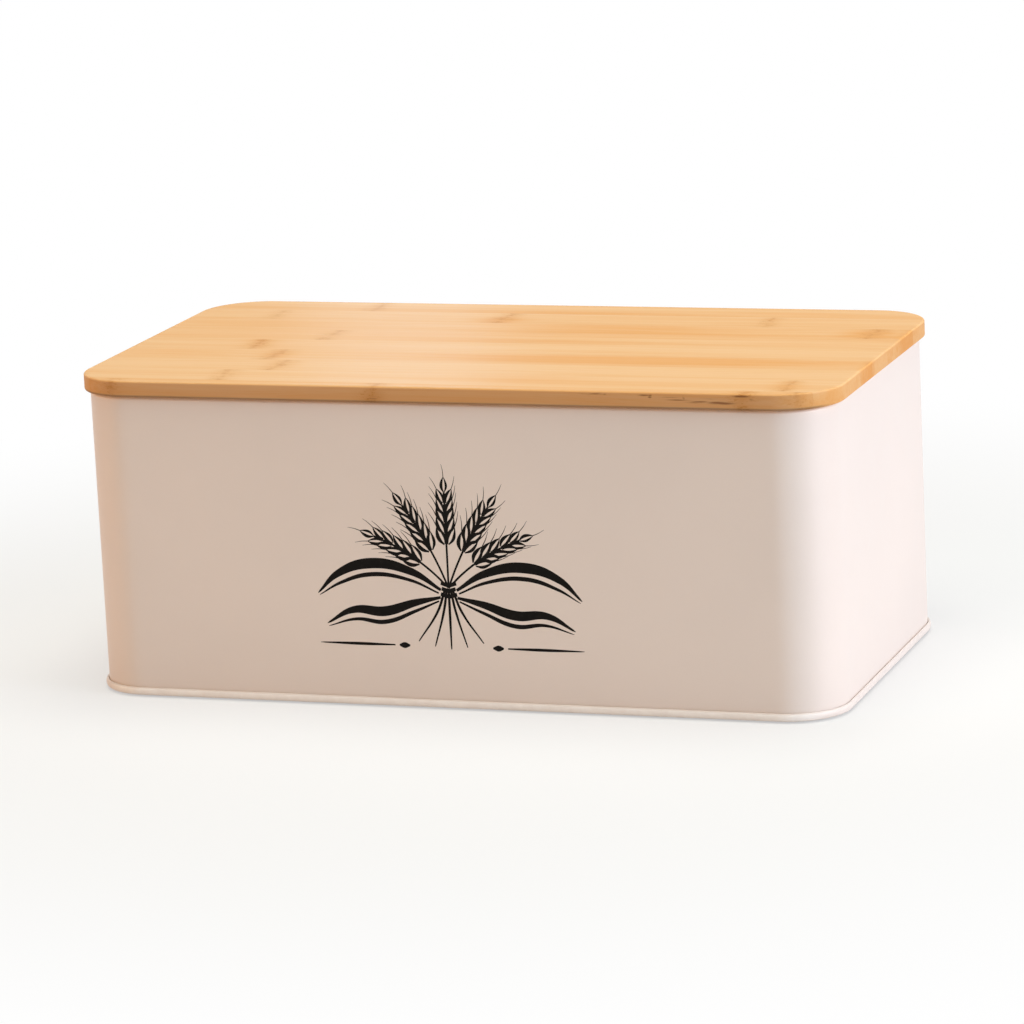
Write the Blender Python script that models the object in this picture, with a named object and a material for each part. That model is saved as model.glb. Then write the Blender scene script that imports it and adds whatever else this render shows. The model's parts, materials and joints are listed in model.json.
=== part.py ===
# Bread box: a seamed box of painted sheet steel with a lift-off lid of glued bamboo strips.
# Metres, +Z up. The origin lies on the worktop, under the middle of the box. The front faces -Y.

from math import cos, pi, radians, sin

import bmesh
import bpy

# Body, measured outside the sheet. The height runs from the bottom of the seam to the top of the rim.
BODY_LENGTH = 0.330
BODY_DEPTH = 0.177
BODY_HEIGHT = 0.1303
CORNER_RADIUS = 0.0235
SHEET = 0.0003

# Rim: the top edge of the wall, rolled inwards over most of a full turn.
RIM_RADIUS = 0.0016
RIM_TURN = radians(285)

# Double seam round the bottom: the wall and the base hooked into each other, with air between the layers.
SEAM_HEIGHT = 0.0034
SEAM_GAP = 0.0001

# Lock seam in the middle of the back, where the two ends of the wall sheet hook into each other.
LOCK_WIDTH = 0.0060
LOCK_MARGIN = 0.0006
LOCK_SLIT = 0.0004
BUTT_GAP = 0.0003

# Base pan: lifted inside the seam, with a low step that stiffens the middle panel.
BASE_LIFT = 0.0030
BASE_BEND = 0.0012
STEP_INSET = 0.0120
STEP_RUN = 0.0020
STEP_HEIGHT = 0.0008

# Feet: soft round pads glued under the raised panel of the base.
FOOT_DIAMETER = 0.0100
FOOT_TAPER = 0.0007
FOOT_EDGE = 0.0009
FOOT_MARGIN = 0.0040
FOOT_STANDOUT = 0.0008
SEAT_GAP = 0.0003

# Lid: a board that overhangs the wall, rebated all round so that its underside drops inside the rim.
LID_OVERHANG = 0.0025
LID_EDGE = 0.0070
LID_ARRIS = 0.0008
PLUG_DEPTH = 0.0050
PLUG_CLEARANCE = 0.0013
PLUG_CHAMFER = 0.0006
BACK_STRIP_WIDTH = 0.0210
FRONT_STRIP_WIDTH = 0.0070
STRIP_COUNT = 9
GLUE_GAP = 0.0003
CUT_OVERRUN = 0.0100

# How finely the round stretches are divided.
CORNER_STEPS = 10
LID_CORNER_STEPS = 14
RIM_STEPS = 10
FOLD_STEPS = 6
BEND_STEPS = 3
ARRIS_STEPS = 3
FOOT_SIDES = 32

# Finishes: linear colour, roughness and metallic value.
PAINT_COLOUR = (0.78, 0.68, 0.61)
RUBBER_COLOUR = (0.55, 0.53, 0.50)
BAMBOO_PALE = (0.76, 0.47, 0.22)
BAMBOO_DARK = (0.65, 0.31, 0.10)
STRIP_TONE_SHARES = (0.55, 0.15, 0.70, 0.50, 0.25, 1.00, 0.20, 0.30, 0.60)

# Worked out from the sizes above.
PITCH = SHEET + SEAM_GAP
WALL_RADIUS = CORNER_RADIUS - SHEET / 2
RIM_MIDDLE = RIM_RADIUS - SHEET / 2
RIM_CENTRE_Z = BODY_HEIGHT - RIM_RADIUS
SEAM_LOW_Z = SHEET / 2 + 2 * PITCH
SEAM_HIGH_Z = SEAM_HEIGHT - SHEET / 2 - PITCH
LOCK_LOW_Z = max(SEAM_HEIGHT, BASE_LIFT + SHEET / 2) + LOCK_MARGIN
LOCK_HIGH_Z = RIM_CENTRE_Z - RIM_RADIUS - LOCK_MARGIN
LID_CORNER_RADIUS = CORNER_RADIUS + LID_OVERHANG
PLUG_INSET = LID_OVERHANG + 2 * RIM_RADIUS + PLUG_CLEARANCE


def clear_scene():
    for thing in list(bpy.data.objects):
        bpy.data.objects.remove(thing)


def make_material(name, colour, roughness, metallic):
    material = bpy.data.materials.new(name)
    material.use_nodes = True
    shader = material.node_tree.nodes["Principled BSDF"]
    shader.inputs["Base Color"].default_value = (*colour, 1)
    shader.inputs["Roughness"].default_value = roughness
    shader.inputs["Metallic"].default_value = metallic
    material.diffuse_color = (*colour, 1)
    return material


def add_object(name, shape, material, location=(0, 0, 0), parent=None):
    """Put a finished bmesh into the scene as one named object."""
    mesh = bpy.data.meshes.new(name)
    shape.to_mesh(mesh)
    shape.free()
    mesh.shade_smooth()
    mesh.set_sharp_from_angle(angle=radians(35))
    if material:
        mesh.materials.append(material)
    thing = bpy.data.objects.new(name, mesh)
    thing.location = location
    thing.parent = parent
    bpy.context.scene.collection.objects.link(thing)
    return thing


def make_guide(thing):
    """Keep an object as a cutter only."""
    thing.hide_render = True
    thing.display_type = "WIRE"


def arc(centre, radius, start, turn, steps):
    """Points round a centre, both ends included."""
    angles = [start + turn * i / steps for i in range(steps + 1)]
    return [(centre[0] + radius * cos(a), centre[1] + radius * sin(a)) for a in angles]


def corner_columns(half_length, half_depth, radius, steps):
    """Upright lines round a rounded rectangle, anticlockwise from the back left corner.

    Each is the centre of its corner and the direction outwards, so a point on it lies at
    the centre plus the direction times a radius.
    """
    columns = []
    for corner in range(4):
        start = pi / 2 * (corner + 1)
        side_x = -1 if corner in (0, 1) else 1
        side_y = -1 if corner in (1, 2) else 1
        centre = (side_x * (half_length - radius), side_y * (half_depth - radius))
        for i in range(steps + 1):
            angle = start + pi / 2 * i / steps
            columns.append((centre, (cos(angle), sin(angle))))
    return columns


def body_columns():
    return corner_columns(BODY_LENGTH / 2, BODY_DEPTH / 2, CORNER_RADIUS, CORNER_STEPS)


def on_column(column, radius, z):
    centre, outward = column
    return (centre[0] + outward[0] * radius, centre[1] + outward[1] * radius, z)


def bridge_lines(shape, lines, closed=False):
    """Fill faces between neighbouring lines of vertices. A missing vertex leaves a hole."""
    pairs = list(zip(lines, lines[1:]))
    if closed:
        pairs.append((lines[-1], lines[0]))
    for one, other in pairs:
        for i in range(len(one) - 1):
            corners = (one[i], other[i], other[i + 1], one[i + 1])
            if None not in corners:
                shape.faces.new(corners)


def add_thickness(thing):
    """Turn the middle surface of a sheet into the sheet."""
    solidify = thing.modifiers.new("sheet", "SOLIDIFY")
    solidify.thickness = SHEET
    solidify.offset = 0
    solidify.use_even_offset = True
    solidify.use_rim = True


# Wall: sections are pairs of distance outwards from the middle of the wall, and height.

def wall_section():
    """The bottom hook, the straight wall with the stops of its lock seam, and the rolled rim."""
    hook = [(2 * PITCH, SEAM_HIGH_Z)]
    fold = arc((PITCH, SEAM_LOW_Z), PITCH, 0, -pi, FOLD_STEPS)
    stops = [LOCK_LOW_Z - LOCK_SLIT, LOCK_LOW_Z, LOCK_HIGH_Z, LOCK_HIGH_Z + LOCK_SLIT]
    rim = arc((-RIM_MIDDLE, RIM_CENTRE_Z), RIM_MIDDLE, 0, RIM_TURN, RIM_STEPS)
    return hook + fold + [(0, z) for z in stops] + rim


def lock_seam_ends():
    """Both ends of the wall at the lock seam in plan, each from the wall to the tip of its hook.

    A point is its place along the back and its distance outwards from the middle of the wall.
    """
    left = -LOCK_WIDTH / 2
    right = LOCK_WIDTH / 2
    inner_fold = arc((right, -2 * PITCH), PITCH, -pi / 2, pi, FOLD_STEPS)
    inner_end = [(left - PITCH, -3 * PITCH)] + inner_fold + [(left, -PITCH)]
    outer_fold = arc((left, -PITCH), PITCH, pi / 2, pi, FOLD_STEPS)
    outer_end = outer_fold[1:] + [(right, -2 * PITCH)]
    return inner_end, outer_end


def build_wall(material):
    shape = bmesh.new()
    section = wall_section()
    lock_rows = [i for i, point in enumerate(section) if point[1] in (LOCK_LOW_Z, LOCK_HIGH_Z)]
    back_y = BODY_DEPTH / 2 - CORNER_RADIUS

    def full_line(column):
        return [shape.verts.new(on_column(column, WALL_RADIUS + u, z)) for u, z in section]

    def back_line(x):
        return full_line(((x, back_y), (0, 1)))

    def lock_line(x, shift):
        column = ((x, back_y), (0, 1))
        line = [None] * len(section)
        for row in lock_rows:
            place = on_column(column, WALL_RADIUS + shift, section[row][1])
            line[row] = shape.verts.new(place)
        return line

    # One end steps inwards over the three layers that lie outside it.
    step_x = -LOCK_WIDTH / 2 - PITCH - 3 * PITCH
    inner_end, outer_end = lock_seam_ends()
    wall = [back_line(step_x)]
    wall += [full_line(column) for column in body_columns()]
    wall.append(back_line(-LOCK_WIDTH / 2))
    bridge_lines(shape, wall)
    bridge_lines(shape, [wall[0]] + [lock_line(x, u) for x, u in inner_end])
    bridge_lines(shape, [wall[-1]] + [lock_line(x, u) for x, u in outer_end])

    # Above and below the lock seam the outer end runs on and butts against the other one.
    butt = back_line(step_x + BUTT_GAP)
    for row in lock_rows:
        shape.verts.remove(butt[row])
        butt[row] = None
    bridge_lines(shape, [wall[-1], butt])

    bmesh.ops.recalc_face_normals(shape, faces=shape.faces)
    wall_sheet = add_object("wall_sheet", shape, material, (0, 0, FOOT_STANDOUT))
    add_thickness(wall_sheet)
    return wall_sheet


# Base pan: its edge wraps the hook of the wall and comes up inside it.

def base_section():
    cover_hook = [(PITCH, SEAM_LOW_Z)]
    top_fold = arc((2 * PITCH, SEAM_HIGH_Z), PITCH, pi, -pi, FOLD_STEPS)
    bottom_fold = arc((PITCH, SEAM_LOW_Z), 2 * PITCH, 0, -pi, FOLD_STEPS)
    bend_centre = (-PITCH - BASE_BEND, BASE_LIFT - BASE_BEND)
    bend = arc(bend_centre, BASE_BEND, 0, pi / 2, BEND_STEPS)
    step = [(-STEP_INSET, BASE_LIFT), (-STEP_INSET - STEP_RUN, BASE_LIFT + STEP_HEIGHT)]
    return cover_hook + top_fold + bottom_fold + bend + step


def build_base(material):
    shape = bmesh.new()
    section = base_section()
    lines = []
    for column in body_columns():
        lines.append([shape.verts.new(on_column(column, WALL_RADIUS + u, z)) for u, z in section])
    bridge_lines(shape, lines, closed=True)
    shape.faces.new([line[-1] for line in lines])
    bmesh.ops.recalc_face_normals(shape, faces=shape.faces)
    base_pan = add_object("base_pan", shape, material, (0, 0, FOOT_STANDOUT))
    add_thickness(base_pan)
    return base_pan


# Feet

def foot_shape(height):
    """A pad turned round its own axis, standing on its own origin."""
    top = FOOT_DIAMETER / 2
    bottom = top - FOOT_TAPER
    shape = bmesh.new()
    edge = arc((bottom - FOOT_EDGE, FOOT_EDGE), FOOT_EDGE, -pi / 2, pi / 2, ARRIS_STEPS)
    profile = [(0, 0)] + edge + [(top, height), (0, height)]
    points = [shape.verts.new((x, 0, z)) for x, z in profile]
    edges = [shape.edges.new(pair) for pair in zip(points, points[1:])]
    bmesh.ops.spin(
        shape,
        geom=points + edges,
        cent=(0, 0, 0),
        axis=(0, 0, 1),
        angle=2 * pi,
        steps=FOOT_SIDES,
        use_merge=True,
    )
    bmesh.ops.remove_doubles(shape, verts=shape.verts, dist=SEAT_GAP / 100)
    bmesh.ops.recalc_face_normals(shape, faces=shape.faces)
    return shape


def build_feet(material):
    panel_underside = FOOT_STANDOUT + BASE_LIFT + STEP_HEIGHT - SHEET / 2
    height = panel_underside - SEAT_GAP
    inset = SHEET / 2 + STEP_INSET + STEP_RUN + FOOT_MARGIN + FOOT_DIAMETER / 2
    x = BODY_LENGTH / 2 - inset
    y = BODY_DEPTH / 2 - inset
    places = {
        "foot_front_left": (-x, -y, 0),
        "foot_front_right": (x, -y, 0),
        "foot_back_left": (-x, y, 0),
        "foot_back_right": (x, y, 0),
    }
    for name, place in places.items():
        add_object(name, foot_shape(height), material, place)


# Lid: the whole board is one guide, and each strip is the stretch of it between two glue lines.

def lid_section():
    """Insets from the outline of the lid, and heights above its underside, from the top down."""
    top_edge = arc((LID_ARRIS, LID_EDGE - LID_ARRIS), LID_ARRIS, pi / 2, pi / 2, ARRIS_STEPS)
    low_edge = arc((LID_ARRIS, LID_ARRIS), LID_ARRIS, pi, pi / 2, ARRIS_STEPS)
    plug = [
        (PLUG_INSET, 0),
        (PLUG_INSET, PLUG_CHAMFER - PLUG_DEPTH),
        (PLUG_INSET + PLUG_CHAMFER, -PLUG_DEPTH),
    ]
    return top_edge + low_edge + plug


def build_lid_board(parent):
    half_length = BODY_LENGTH / 2 + LID_OVERHANG
    half_depth = BODY_DEPTH / 2 + LID_OVERHANG
    shape = bmesh.new()
    lines = []
    for column in corner_columns(half_length, half_depth, LID_CORNER_RADIUS, LID_CORNER_STEPS):
        points = [on_column(column, LID_CORNER_RADIUS - inset, z) for inset, z in lid_section()]
        lines.append([shape.verts.new(point) for point in points])
    bridge_lines(shape, lines, closed=True)
    shape.faces.new([line[0] for line in lines])
    shape.faces.new([line[-1] for line in lines])
    bmesh.ops.recalc_face_normals(shape, faces=shape.faces)
    board = add_object("lid_board_guide", shape, None, parent=parent)
    make_guide(board)
    return board


def glue_lines():
    """The y of each joint between strips, with the outer edges of the lid, from back to front.

    The strips between the back one and the front one are all as wide.
    """
    back = BODY_DEPTH / 2 + LID_OVERHANG
    first = back - BACK_STRIP_WIDTH
    last = FRONT_STRIP_WIDTH - back
    alike = STRIP_COUNT - 2
    joints = [first + (last - first) * i / alike for i in range(alike + 1)]
    return [back + CUT_OVERRUN] + joints + [-back - CUT_OVERRUN]


def build_strip(number, back_y, front_y, board, material, parent):
    """A slab between two glue lines, cut to the shape of the board."""
    length = BODY_LENGTH + 2 * (LID_OVERHANG + CUT_OVERRUN)
    width = back_y - front_y - GLUE_GAP
    height = LID_EDGE + PLUG_DEPTH + 2 * CUT_OVERRUN
    shape = bmesh.new()
    bmesh.ops.create_cube(shape, size=1)
    bmesh.ops.scale(shape, vec=(length, width, height), verts=shape.verts)
    middle_z = (LID_EDGE - PLUG_DEPTH) / 2
    bmesh.ops.translate(shape, vec=(0, 0, middle_z), verts=shape.verts)
    place = (0, (back_y + front_y) / 2, 0)
    strip = add_object(f"lid_strip_{number}", shape, material, place, parent)
    cut = strip.modifiers.new("board outline", "BOOLEAN")
    cut.operation = "INTERSECT"
    cut.solver = "EXACT"
    cut.object = board


def bamboo(number):
    """The pale and the dark bamboo mixed by the tone of one strip."""
    share = STRIP_TONE_SHARES[(number - 1) % len(STRIP_TONE_SHARES)]
    colour = [p + (d - p) * share for p, d in zip(BAMBOO_PALE, BAMBOO_DARK)]
    return make_material(f"bamboo_{number}", colour, 0.5, 0)


def build_lid():
    """The strips hang on an empty in the middle of the lid's underside, on the line along which it lifts."""
    lift = bpy.data.objects.new("lid_lift_axis", None)
    lift.location = (0, 0, FOOT_STANDOUT + BODY_HEIGHT + SEAT_GAP)
    bpy.context.scene.collection.objects.link(lift)
    board = build_lid_board(lift)
    lines = glue_lines()
    for i in range(STRIP_COUNT):
        build_strip(i + 1, lines[i], lines[i + 1], board, bamboo(i + 1), lift)


def main():
    clear_scene()
    paint = make_material("satin_paint", PAINT_COLOUR, 0.45, 0)
    rubber = make_material("foot_rubber", RUBBER_COLOUR, 0.7, 0)
    build_wall(paint)
    build_base(paint)
    build_feet(rubber)
    build_lid()


main()
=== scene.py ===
# %% [markdown]
# # A bread box with a bamboo lid
#
# The object is a box of painted sheet steel. Its wall is one long sheet bent round four corners, its
# bottom is hooked into the wall by a double seam, and its lid is a board of glued bamboo strips that
# lifts off. A measured model gives every size and place. This lesson makes the fine surfaces around
# it: smooth sheet metal, sanded bamboo, soft feet and a printed wheat sheaf.
#
# The measured model is loaded first, and stays as it is.

# %% Load the measured model
import json
from math import atan, cos, pi, radians, sin

import bmesh
import bpy
from mathutils import Matrix, Vector

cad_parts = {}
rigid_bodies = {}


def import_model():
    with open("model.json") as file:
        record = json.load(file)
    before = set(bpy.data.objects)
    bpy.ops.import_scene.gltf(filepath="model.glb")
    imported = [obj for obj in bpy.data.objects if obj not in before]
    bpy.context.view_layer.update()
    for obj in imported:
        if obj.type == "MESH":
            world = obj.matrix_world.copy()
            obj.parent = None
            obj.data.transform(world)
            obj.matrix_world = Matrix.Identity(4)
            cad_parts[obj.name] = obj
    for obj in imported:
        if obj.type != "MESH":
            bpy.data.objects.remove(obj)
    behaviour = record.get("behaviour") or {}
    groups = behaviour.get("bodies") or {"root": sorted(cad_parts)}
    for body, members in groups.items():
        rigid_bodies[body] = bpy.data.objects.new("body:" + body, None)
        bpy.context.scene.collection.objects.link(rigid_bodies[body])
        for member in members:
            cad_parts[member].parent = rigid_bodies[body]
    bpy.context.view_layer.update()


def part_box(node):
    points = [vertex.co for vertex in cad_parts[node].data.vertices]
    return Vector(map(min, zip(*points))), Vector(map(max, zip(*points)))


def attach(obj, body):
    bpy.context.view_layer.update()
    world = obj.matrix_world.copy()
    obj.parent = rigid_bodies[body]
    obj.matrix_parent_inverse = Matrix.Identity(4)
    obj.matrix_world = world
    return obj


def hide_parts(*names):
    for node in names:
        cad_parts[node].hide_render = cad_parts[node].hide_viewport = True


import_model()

MM = 0.001

# %% [markdown]
# ## The camera
#
# The photo was taken from the front right, a little above the lid, through a long lens, and the
# camera leaned slightly to one side. Those facts come from fitting straight edges in the picture to
# the box. Turning the camera in three steps, heading, tilt and lean, keeps each of them readable.

# %% Place the camera
CAMERA_PLACE = (0.7050, -2.0236, 0.5524)
CAMERA_HEADING = radians(19.24)
CAMERA_TILT = radians(12.82)
CAMERA_LEAN = radians(-2.77)
CAMERA_LENS = 178.4
SENSOR_WIDTH = 36.0
NEAREST_SEEN = 0.05
FARTHEST_SEEN = 50.0


def place_camera():
    data = bpy.data.cameras.new("camera")
    data.lens = CAMERA_LENS
    data.sensor_width = SENSOR_WIDTH
    data.clip_start = NEAREST_SEEN
    data.clip_end = FARTHEST_SEEN
    camera = bpy.data.objects.new("camera", data)
    bpy.context.scene.collection.objects.link(camera)
    heading = Matrix.Rotation(CAMERA_HEADING, 4, "Z")
    tilt = Matrix.Rotation(pi / 2 - CAMERA_TILT, 4, "X")
    lean = Matrix.Rotation(CAMERA_LEAN, 4, "Z")
    camera.matrix_world = Matrix.Translation(CAMERA_PLACE) @ heading @ tilt @ lean
    bpy.context.scene.camera = camera
    bpy.context.scene.view_settings.view_transform = "Standard"


place_camera()
print("camera", round(Vector(CAMERA_PLACE).length, 3), "m from the box, lens", CAMERA_LENS, "mm")

# %% [markdown]
# ## Helpers for working in edit mode
#
# An operator acts on whatever is selected, so each step starts by clearing the selection. Points,
# edges and faces are then picked by where they are, which is what the hand and the eye do on screen.

# %% Helpers for selecting and editing
NEAR = 0.004 * MM
SAME_POINT = NEAR / 10
SMOOTH_ANGLE = radians(35)


def select_only(*objects):
    if bpy.context.object and bpy.context.object.mode != "OBJECT":
        bpy.ops.object.mode_set(mode="OBJECT")
    for other in bpy.context.scene.objects:
        other.select_set(False)
    for thing in objects:
        thing.select_set(True)
    bpy.context.view_layer.objects.active = objects[0] if objects else None


def start_editing(thing):
    select_only(thing)
    bpy.ops.object.mode_set(mode="EDIT")
    bpy.ops.mesh.select_mode(type="VERT")
    bpy.ops.mesh.select_all(action="SELECT")


def stop_editing():
    bpy.ops.object.mode_set(mode="OBJECT")


def pick(kind, wanted):
    """In edit mode, select the points, edges or faces all of whose corners answer to wanted(place)."""
    bpy.ops.mesh.select_mode(type=kind)
    bpy.ops.mesh.select_all(action="DESELECT")
    mesh = bmesh.from_edit_mesh(bpy.context.object.data)
    if kind == "VERT":
        chosen = [v for v in mesh.verts if wanted(v.co)]
    else:
        elements = mesh.edges if kind == "EDGE" else mesh.faces
        chosen = [e for e in elements if all(wanted(v.co) for v in e.verts)]
    for element in chosen:
        element.select_set(True)
    bmesh.update_edit_mesh(bpy.context.object.data)


def call_it(name):
    """Name the object that was just added."""
    thing = bpy.context.object
    thing.name = name
    thing.data.name = name
    return thing


def settle(thing):
    """Put the object's place, turn and size into its mesh, so that the object sits at the origin."""
    select_only(thing)
    bpy.ops.object.transform_apply(location=True, rotation=True, scale=True)


def dress(thing, material):
    """Shade it smooth, and give it its material."""
    select_only(thing)
    bpy.ops.object.shade_smooth_by_angle(angle=SMOOTH_ANGLE)
    thing.data.materials.append(material)


def face_outwards(thing):
    start_editing(thing)
    bpy.ops.mesh.remove_doubles(threshold=SAME_POINT)
    bpy.ops.mesh.normals_make_consistent(inside=False)
    stop_editing()


def copy_of(thing, name, change=Matrix()):
    """A copy with its own mesh, moved or turned by a matrix."""
    copy = thing.copy()
    copy.data = thing.data.copy()
    copy.name = name
    copy.data.name = name
    copy.data.transform(change)
    bpy.context.scene.collection.objects.link(copy)
    return copy


# %% [markdown]
# ## Helpers for materials
#
# A procedural material is a chain of small steps, such as a noise, a sum or a mix of two colours.
# These helpers add one node each and return its output, so that a chain reads as a formula. Effects
# that several materials share become node groups with named inputs and outputs.

# %% Helpers for nodes


def put(tree, kind, feeds=(), **settings):
    """Add a node. Feeds maps an input's name or number to a value, or to the output that feeds it."""
    node = tree.nodes.new(kind)
    for name, value in settings.items():
        setattr(node, name, value)
    for socket, value in dict(feeds).items():
        if isinstance(value, bpy.types.NodeSocket):
            tree.links.new(value, node.inputs[socket])
        else:
            node.inputs[socket].default_value = value
    return node


def maths(tree, operation, *values):
    return put(tree, "ShaderNodeMath", enumerate(values), operation=operation).outputs[0]


def together(tree, operation, values):
    """Join any number of values by one operation, two at a time."""
    result = values[0]
    for value in values[1:]:
        result = maths(tree, operation, result, value)
    return result


def times(tree, *values):
    return together(tree, "MULTIPLY", values)


def plus(tree, *values):
    return together(tree, "ADD", values)


def vectors(tree, operation, *values):
    return put(tree, "ShaderNodeVectorMath", enumerate(values), operation=operation).outputs[0]


def axes_of(tree, vector):
    return put(tree, "ShaderNodeSeparateXYZ", {0: vector}).outputs


def noise(tree, place, scale, detail=2.0, roughness=0.5, output="Fac"):
    feeds = {"Vector": place, "Scale": scale, "Detail": detail, "Roughness": roughness}
    return put(tree, "ShaderNodeTexNoise", feeds).outputs[output]


def stretched(tree, place, scales, detail=3.0, roughness=0.6):
    """Noise with its own scale along each axis, so that it draws out into fibres."""
    return noise(tree, vectors(tree, "MULTIPLY", place, scales), 1.0, detail, roughness)


def fit(tree, value, low, high, new_low=0.0, new_high=1.0, kind="SMOOTHSTEP"):
    """Map one range to another, held at its ends."""
    feeds = {"Value": value, "From Min": low, "From Max": high, "To Min": new_low, "To Max": new_high}
    return put(tree, "ShaderNodeMapRange", feeds, interpolation_type=kind).outputs[0]


def blend(tree, share, first, second, kind="MIX"):
    feeds = {0: share, 6: first, 7: second}
    return put(tree, "ShaderNodeMix", feeds, data_type="RGBA", blend_type=kind).outputs[2]


def new_group(name, inputs, outputs):
    """A node group. Inputs maps a name to its kind and value, outputs maps a name to its kind."""
    kinds = {"share": "NodeSocketFloat", "place": "NodeSocketVector", "colour": "NodeSocketColor"}
    group = bpy.data.node_groups.new(name, "ShaderNodeTree")
    for socket_name, (kind, value) in inputs.items():
        socket = group.interface.new_socket(socket_name, in_out="INPUT", socket_type=kinds[kind])
        socket.default_value = value
    for socket_name, kind in outputs.items():
        group.interface.new_socket(socket_name, in_out="OUTPUT", socket_type=kinds[kind])
    return group, group.nodes.new("NodeGroupInput").outputs, group.nodes.new("NodeGroupOutput").inputs


def use_group(tree, group, feeds):
    return put(tree, "ShaderNodeGroup", feeds, node_tree=group).outputs


def new_material(name, constants):
    """A material with its node tree and its shader, whose constant values are set on the shader."""
    material = bpy.data.materials.new(name)
    material.use_nodes = True
    shader = material.node_tree.nodes["Principled BSDF"]
    for socket, value in constants.items():
        shader.inputs[socket].default_value = value
    return material, material.node_tree, shader


def finish_shader(tree, shader, colour, roughness, height, depth):
    """Feed the shader from an effect's outputs. Depth is the height in metres that 1 stands for."""
    bump = put(tree, "ShaderNodeBump", {"Height": height, "Distance": depth, "Strength": 1.0})
    tree.links.new(colour, shader.inputs["Base Color"])
    tree.links.new(roughness, shader.inputs["Roughness"])
    tree.links.new(bump.outputs[0], shader.inputs["Normal"])


def object_place(tree):
    return put(tree, "ShaderNodeTexCoord").outputs["Object"]


# %% [markdown]
# ## Powder coat on sheet steel
#
# The box has a warm ivory powder coat. Powder that melts in an oven leaves a fine orange peel, about
# a millimetre from one dimple to the next, a few hundredths deep, and a satin sheen that varies a
# little where the coat is thicker. Its colour is almost even, with faint clouds and fine specks. The
# upper half of the proud seam at the bottom of the two long sides is painted paler: a painted
# highlight, as if its round top caught the light. The rim is rubbed a little smoother by the lid, and
# a trace of flour lies on the floor of the box.

# %% The powder coat as a node group
COAT_COLOUR = (0.780, 0.680, 0.610, 1.0)
RUBBED_COLOUR = (0.56, 0.50, 0.45, 1.0)
# The colour of the painted highlight on the seam's upper half.
SEAM_HIGHLIGHT_COLOUR = (0.95, 0.90, 0.845, 1.0)
FLOUR_COLOUR = (0.93, 0.90, 0.85, 1.0)
COAT_PEEL_DEPTH = 0.012 * MM

# How often a metre each pattern changes.
PEEL_SCALE = 780.0
SPECK_SCALE = 3400.0
CLOUD_SCALE = 14.0
SHEEN_SCALE = 55.0
RUB_SCALE = 160.0
SEAM_SCALE = 220.0
FLOUR_SCALE = 34.0

# How much each effect does at most.
RUB_SHARE = 0.12
RUB_GLOSS = 0.08
FLOUR_SHARE = 0.45
FLOUR_ROUGHNESS = 0.20
SPECK_SHARE = 0.12

wall_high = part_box("wall_sheet")[1]
rim_top = wall_high.z
seam_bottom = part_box("base_pan")[0].z

# Each mask starts at its first place and is full at its second. The first four are heights, the
# fifth is a distance from the middle, and the last two say how far a face looks up.
RUBBED_RIM = (rim_top - 1.6 * MM, rim_top)
SEAM_FOOT = (seam_bottom - 0.4 * MM, seam_bottom + 1.4 * MM)
SEAM_HEAD = (seam_bottom + 3.3 * MM, seam_bottom + 2.8 * MM)
LOW_DOWN = (seam_bottom + 9.0 * MM, seam_bottom + 5.0 * MM)
LONG_SIDES = (wall_high.x - 3.0 * MM, wall_high.x - 16.0 * MM)
NOT_UNDERNEATH = (-0.95, -0.5)
LOOKING_UP = (0.7, 0.95)


def make_powder_coat():
    inputs = {"Place": ("place", (0, 0, 0)), "Colour": ("colour", COAT_COLOUR)}
    outputs = {"Colour": "colour", "Roughness": "share", "Height": "share"}
    tree, take, give = new_group("powder_coat", inputs, outputs)
    place = take["Place"]
    axes = axes_of(tree, place)
    height = axes["Z"]
    along = maths(tree, "ABSOLUTE", axes["X"])
    upward = axes_of(tree, put(tree, "ShaderNodeNewGeometry").outputs["Normal"])["Z"]

    peel = noise(tree, place, PEEL_SCALE, 2.0, 0.45)
    specks = noise(tree, place, SPECK_SCALE, 2.0, 0.6)
    clouds = noise(tree, place, CLOUD_SCALE, 3.0, 0.55)

    # The lid rubs the rim, the seam gets a painted highlight, and flour lies on the floor.
    rub = times(tree, fit(tree, height, *RUBBED_RIM),
                fit(tree, noise(tree, place, RUB_SCALE, 4.0), 0.42, 0.62))
    seam = times(tree, fit(tree, height, *SEAM_FOOT), fit(tree, height, *SEAM_HEAD),
                 fit(tree, upward, *NOT_UNDERNEATH), fit(tree, along, *LONG_SIDES, 0.1))
    seam_highlight = times(tree, seam, fit(tree, noise(tree, place, SEAM_SCALE, 4.0), 0.30, 0.70, 0.75, 1.0))
    flour = times(tree, fit(tree, upward, *LOOKING_UP), fit(tree, height, *LOW_DOWN),
                  fit(tree, noise(tree, place, FLOUR_SCALE, 5.0, 0.65), 0.42, 0.66))

    shade = plus(tree, fit(tree, clouds, 0.3, 0.7, 0.985, 1.012),
                 fit(tree, specks, 0.25, 0.75, -0.012, 0.012))
    shaded = {0: take["Colour"], "Scale": shade}
    colour = put(tree, "ShaderNodeVectorMath", shaded, operation="SCALE").outputs[0]
    colour = blend(tree, times(tree, rub, RUB_SHARE), colour, RUBBED_COLOUR)
    # Painted highlight: the upper half of the seam on the long sides is painted paler.
    colour = blend(tree, seam_highlight, colour, SEAM_HIGHLIGHT_COLOUR)
    colour = blend(tree, times(tree, flour, FLOUR_SHARE), colour, FLOUR_COLOUR)
    tree.links.new(colour, give["Colour"])

    roughness = plus(tree, fit(tree, clouds, 0.25, 0.75, 0.40, 0.47),
                     fit(tree, noise(tree, place, SHEEN_SCALE, 3.0), 0.35, 0.65, -0.02, 0.02),
                     times(tree, rub, -RUB_GLOSS), times(tree, flour, FLOUR_ROUGHNESS))
    tree.links.new(roughness, give["Roughness"])
    tree.links.new(plus(tree, peel, times(tree, specks, SPECK_SHARE)), give["Height"])
    return tree


powder_coat = make_powder_coat()


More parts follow.
